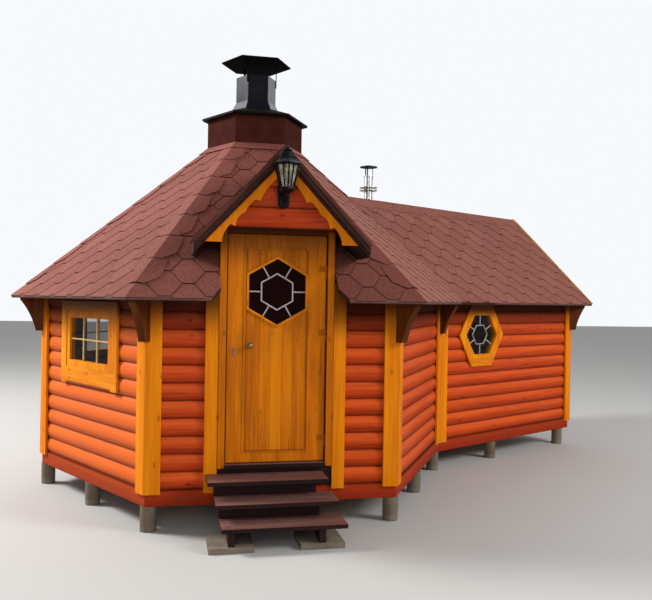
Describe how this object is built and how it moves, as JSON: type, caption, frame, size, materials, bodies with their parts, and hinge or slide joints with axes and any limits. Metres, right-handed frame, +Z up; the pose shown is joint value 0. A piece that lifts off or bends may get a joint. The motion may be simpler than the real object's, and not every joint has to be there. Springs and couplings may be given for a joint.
{
  "type": "sauna hut",
  "caption": "Hexagonal half-log sauna hut with a gabled extension, a hinged glazed door under a small porch roof, windows, smoke outlet and flue, on piers.",
  "frame": {"origin": "centre of the hexagonal room at ground level, under the smoke outlet", "axes": "+Z up; the door's wall faces -Y; the extension runs towards +X and +Y, 30 degrees from +X"},
  "size_m": [6.5097, 5.381, 4.0286],
  "materials": {
    "concrete": "cast concrete",
    "dark_wood": "dark brown stain",
    "red_stained_wood": "red-orange stain",
    "yellow_stained_wood": "yellow-orange stain",
    "plain_wood": "light stain",
    "shingle_roof": "mineral-grained bitumen shingles on boards",
    "brown_sheet_metal": "painted sheet",
    "black_metal": "satin black",
    "stainless_steel": "brushed",
    "clear_glass": "clear",
    "steel": "satin"
  },
  "bodies": {
    "hut": {"back_left_wall": "red_stained_wood", "back_wall": "red_stained_wood", "base_beams": "red_stained_wood", "collar_cap": "brown_sheet_metal", "corner_boards": "yellow_stained_wood", "corner_posts": "plain_wood", "door_casing": "yellow_stained_wood", "door_frame": "yellow_stained_wood", "door_sill": "red_stained_wood", "eaves_brackets": "yellow_stained_wood", "extension_back_wall": "red_stained_wood", "extension_barge_boards": "yellow_stained_wood", "extension_end_wall": "red_stained_wood", "extension_front_wall": "red_stained_wood", "extension_roof": "shingle_roof", "floor_boards": "plain_wood", "frame_hinges": "steel", "front_wall": "red_stained_wood", "hut_roof": "shingle_roof", "lantern": "black_metal", "lantern_glass": "clear_glass", "left_wall": "red_stained_wood", "piers": "concrete", "porch_barge_boards": "yellow_stained_wood", "porch_cheeks": "plain_wood", "porch_gable": "red_stained_wood", "porch_roof": "shingle_roof", "porch_soffit": "plain_wood", "rain_hat": "black_metal", "right_wall": "red_stained_wood", "sauna_flue": "stainless_steel", "smoke_collar": "brown_sheet_metal", "smoke_duct": "black_metal", "step_slabs": "concrete", "stringers": "dark_wood", "threshold": "yellow_stained_wood", "treads": "dark_wood", "wall_plates": "plain_wood", "window_casings": "yellow_stained_wood", "window_glass": "clear_glass", "window_sashes": "yellow_stained_wood"},
    "door": {"door_leaf": "yellow_stained_wood", "door_glass": "clear_glass", "door_knob": "steel", "door_hinges": "steel"}
  },
  "joints": [
    {"name": "door_hinge", "type": "hinge", "parent": "hut", "child": "door", "pos_m": [0.373, -1.6462, 0], "axis": [0, 0, 1], "range_deg": [0, 95]}
  ]
}
